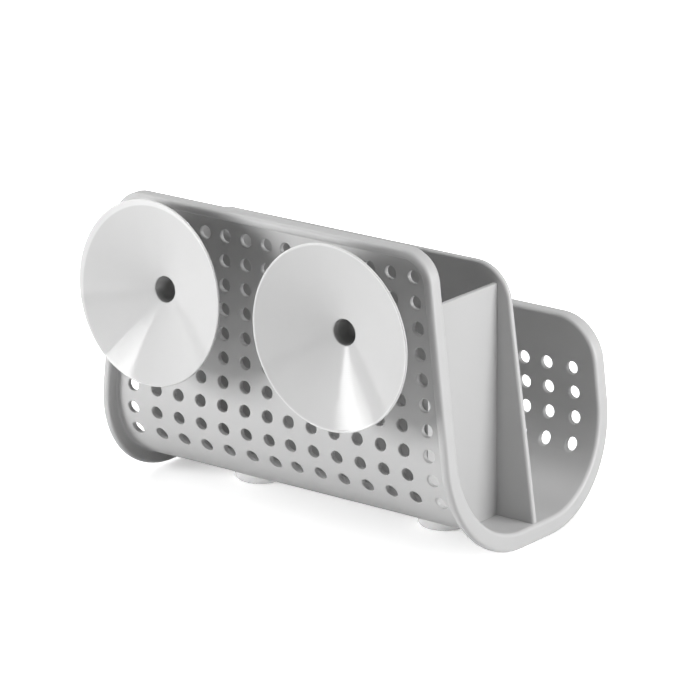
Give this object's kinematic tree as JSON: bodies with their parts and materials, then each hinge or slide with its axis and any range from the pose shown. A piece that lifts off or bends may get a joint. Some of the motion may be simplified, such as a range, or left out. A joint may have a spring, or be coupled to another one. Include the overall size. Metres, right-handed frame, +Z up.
{
  "type": "kitchen sink caddy",
  "caption": "Perforated U-shaped sink caddy with a rolled rim, a lift-out divider that makes a brush pocket, suction cups on the tall back panel and clear bumper feet.",
  "frame": {"origin": "on the surface under the feet, below the middle of the whole caddy, cups included", "axes": "+Z up; +Y from the low front panel to the tall back panel and the suction cups; +X along the basket, to the left when seen from behind"},
  "size_m": [0.1652, 0.1128, 0.1181],
  "materials": {
    "grey_plastic": "satin, light grey, finely textured moulded plastic",
    "cup_rubber": "glossy, milky white, soft",
    "clear_rubber": "glossy and clear"
  },
  "bodies": {
    "basket": {"basket": "grey_plastic", "foot_left": "clear_rubber", "foot_right": "clear_rubber"},
    "divider": {"divider": "grey_plastic"},
    "suction_cup_left": {"suction_cup_left": "cup_rubber"},
    "suction_cup_right": {"suction_cup_right": "cup_rubber"}
  },
  "joints": [
    {"name": "divider_lift", "type": "slide", "parent": "basket", "child": "divider", "axis": [0, 0, 1], "range_m": [0, 0.11]},
    {"name": "suction_cup_left_turn", "type": "hinge", "parent": "basket", "child": "suction_cup_left", "pos_m": [0.03985, 0.03525, 0.0846], "axis": [0, 1, 0], "continuous": true},
    {"name": "suction_cup_right_turn", "type": "hinge", "parent": "basket", "child": "suction_cup_right", "pos_m": [-0.03985, 0.03525, 0.0846], "axis": [0, 1, 0], "continuous": true}
  ]
}
